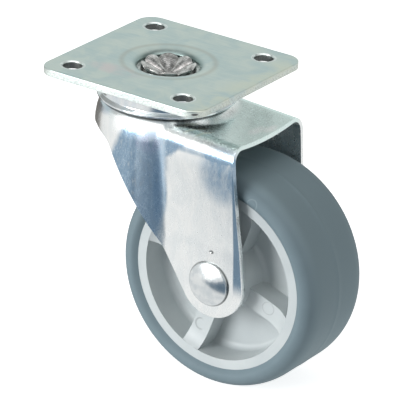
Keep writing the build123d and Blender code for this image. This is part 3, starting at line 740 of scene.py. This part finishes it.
# One half of the tyre's outline, from the rim over the bulging side and round shoulder to the parting line
half = [(BEAD_RADIUS, BEAD_HALF)]
for step in range(1, BEAD_STEPS):
    share = step / BEAD_STEPS
    half.append((BEAD_RADIUS + BEAD_RISE * share, BEAD_HALF + BEAD_BULGE * sin(pi / 2 * share)))
for step in range(SHOULDER_STEPS + 1):
    turn = pi / 2 * step / SHOULDER_STEPS
    half.append((TREAD_RADIUS - SHOULDER_RISE * (1 - sin(turn)),
                 TREAD_HALF + (SIDE_HALF - TREAD_HALF) * cos(turn)))
half += [(TREAD_RADIUS, TREAD_HALF * share) for share in (0.75, 0.5, 0.25)]
half += [(TREAD_RADIUS, PARTING_FOOT), (TREAD_RADIUS + PARTING_RISE, PARTING_HALF)]
outline = half + [(radius, -height) for radius, height in reversed(half)]
tyre = turned("tyre", outline, steps=256, lay=ON_AXLE)
placed("tyre_moulded", tyre, matte_rubber(), "wheel", "grey_tyre", "tyre")

# ---------------------------------------------------------------------------------------------------
# Studio: a pale floor that glows a little, a softbox in front on the left and a weaker one overhead. The
# steel mirrors two cards that the camera doesn't see: the table, dark beyond its edges, and the room.
# ---------------------------------------------------------------------------------------------------
FLOOR_REACH = 4.0
LIT_PLACE = Vector((0.02, 0, -0.05))
STUDIO_FRONT = radians(33.41)
TABLE_MIDDLE = (0.02, -0.008)
TABLE_RADIUS = 0.6
TABLE_SINK = 0.0002
TABLE_WALL_TOP = -0.02
TABLE_SIDES = 48
TABLE_FRONT = 87
TABLE_LEFT = 137
TABLE_RIGHT = 130
ROOM_RADIUS = 3.0
floor_height = cad_box[0][2]


def staged(name, points, faces, material):
    """A thing in the studio that isn't part of the castor."""
    mesh = bpy.data.meshes.new(name)
    mesh.from_pydata(points, [], faces)
    mesh.materials.append(material)
    prop = bpy.data.objects.new(name, mesh)
    bpy.context.scene.collection.objects.link(prop)
    return prop


def softbox(name, place, size, power):
    light = bpy.data.lights.new(name, "AREA")
    light.shape = "SQUARE"
    light.size = size
    light.energy = power
    lamp = bpy.data.objects.new(name, light)
    lamp.location = place
    lamp.rotation_euler = (LIT_PLACE - Vector(place)).to_track_quat("-Z", "Y").to_euler()
    bpy.context.scene.collection.objects.link(lamp)


def reflection_card(name, points, faces, material, lights=False):
    """A card round the castor that shows only in its reflections, unless it also lights the castor."""
    card = staged(name, points, faces, material)
    card.visible_camera = card.visible_shadow = False
    card.visible_diffuse = lights
    card.visible_transmission = card.visible_volume_scatter = False


def glowing(name, strength):
    """A material for cards: no gloss and a glow of its own."""
    card = Finish(name, Roughness=1.0, Specular_IOR_Level=0.0)
    card.fix(Base_Color=(0, 0, 0, 1), Emission_Strength=strength)
    return card


def table_glow():
    table = glowing("table_in_reflections", 1.0)
    x, y, _ = table.axes()
    forward = x * sin(STUDIO_FRONT) - y * cos(STUDIO_FRONT)
    sideways = x * cos(STUDIO_FRONT) + y * sin(STUDIO_FRONT)
    # The table is pale and ends a little way in front of the castor, and beyond it the studio is dark
    beyond = forward.ramp(TABLE_FRONT - 7, TABLE_FRONT + 7) * sideways.ramp(TABLE_RIGHT + 25, TABLE_RIGHT - 5)
    beyond = beyond * sideways.ramp(-TABLE_LEFT - 10, -TABLE_LEFT + 10)
    tint = table.blend(beyond, (0.86, 0.87, 0.87), (0.13, 0.19, 0.25))
    # It is dark behind the castor on the left too, and the castor shades the table under itself
    behind_left = forward.ramp(-30, -70) * sideways.ramp(25, -15) * (sideways - forward * 1.4).ramp(-30, 30)
    tint = table.blend(behind_left, tint, (0.16, 0.15, 0.14))
    shaded = table.spot((30, 0, -100), (52, 26, 50), soft=0.9)
    return table.connect(Emission_Color=table.blend(shaded * 0.6, tint, (0.30, 0.31, 0.31)))


def room_glow():
    """Bright in front of the castor, dark overhead and a little behind, and dim at the back."""
    room = glowing("room_in_reflections", 1.3)
    x, y, z = room.axes()
    ahead = x * sin(STUDIO_FRONT) - y * cos(STUDIO_FRONT)
    return room.connect(Emission_Color=room.add("ShaderNodeValToRGB", {"stops": [
        (0.0, (0.56, 0.61, 0.60)), (0.19, (0.58, 0.62, 0.61)), (0.25, (0.16, 0.18, 0.18)),
        (0.50, (0.16, 0.18, 0.18)), (0.60, (0.55, 0.57, 0.57)), (0.72, (1, 1, 1)), (1.0, (1, 1, 1)),
    ]}, {0: ahead / distance(ahead, z) * 0.5 + 0.5}))


softbox("key_softbox", (-0.34, -0.94, 0.22), 0.55, 9.6)
softbox("overhead_softbox", (0.05, -0.15, 0.9), 0.9, 1.5)

pale = Finish("pale_floor", Roughness=0.9, Specular_IOR_Level=0.1, Emission_Strength=0.75)
pale.fix(Base_Color=(0.75, 0.75, 0.75, 1), Emission_Color=(1, 1, 1, 1))
corners = [(-1, -1), (1, -1), (1, 1), (-1, 1)]
floor = staged("floor", [(east * FLOOR_REACH, north * FLOOR_REACH, floor_height) for east, north in corners],
               [(0, 1, 2, 3)], pale.material)
floor.visible_glossy = floor.visible_diffuse = False

# The table's card is a round sheet just under the floor's top, with a low wall round it
table_height = floor_height - TABLE_SINK
turns = [2 * pi * side / TABLE_SIDES for side in range(TABLE_SIDES)]
points = [(*TABLE_MIDDLE, table_height)]
points += [(TABLE_MIDDLE[0] + TABLE_RADIUS * cos(turn), TABLE_MIDDLE[1] + TABLE_RADIUS * sin(turn), height)
           for height in (table_height, TABLE_WALL_TOP) for turn in turns]
foot = range(1, 1 + TABLE_SIDES)
edges = list(zip(foot, [*foot[1:], foot[0]]))
faces = [(0, one, two) for one, two in edges]
faces += [(one, two, two + TABLE_SIDES, one + TABLE_SIDES) for one, two in edges]
reflection_card("table_in_reflections", points, faces, table_glow(), lights=True)

shell = bmesh.new()
bmesh.ops.create_icosphere(shell, subdivisions=4, radius=ROOM_RADIUS)
reflection_card("room_in_reflections", [tuple(point.co) for point in shell.verts],
                [tuple(point.index for point in face.verts) for face in shell.faces], room_glow())
shell.free()

world = bpy.data.worlds.new("studio_walls")
world.use_nodes = True
bpy.context.scene.world = world
background = next(n for n in world.node_tree.nodes if n.type == "BACKGROUND")
background.inputs["Color"].default_value = (0.97, 1.0, 1.0, 1)
background.inputs["Strength"].default_value = 0.4
bpy.context.scene.view_settings.view_transform = "Standard"

# ---------------------------------------------------------------------------------------------------
# Camera: a long lens at the front of the studio, a little above the castor and slightly rolled.
# ---------------------------------------------------------------------------------------------------
CAMERA_AZIMUTH = STUDIO_FRONT
CAMERA_ELEVATION = radians(23.525)
CAMERA_ROLL = radians(2.789)
CAMERA_DISTANCE = 1184.858 * MM
CAMERA_TARGET = Vector((20.232, -8.515, -40.045)) * MM
CAMERA_LENS = 331.993
CAMERA_SENSOR = 36
back = Vector((sin(CAMERA_AZIMUTH) * cos(CAMERA_ELEVATION), -cos(CAMERA_AZIMUTH) * cos(CAMERA_ELEVATION),
               sin(CAMERA_ELEVATION)))
level = Vector((cos(CAMERA_AZIMUTH), sin(CAMERA_AZIMUTH), 0))
upright = back.cross(level)
right = level * cos(CAMERA_ROLL) + upright * sin(CAMERA_ROLL)
up = upright * cos(CAMERA_ROLL) - level * sin(CAMERA_ROLL)
camera = bpy.data.objects.new("camera", bpy.data.cameras.new("camera"))
camera.data.sensor_width = CAMERA_SENSOR
camera.data.lens = CAMERA_LENS
camera.data.clip_start = 0.01
camera.data.clip_end = 20
turned_to = Matrix((right, up, back)).transposed().to_4x4()
camera.matrix_world = Matrix.Translation(CAMERA_TARGET + back * CAMERA_DISTANCE) @ turned_to
bpy.context.scene.collection.objects.link(camera)
bpy.context.scene.camera = camera

bpy.context.view_layer.update()
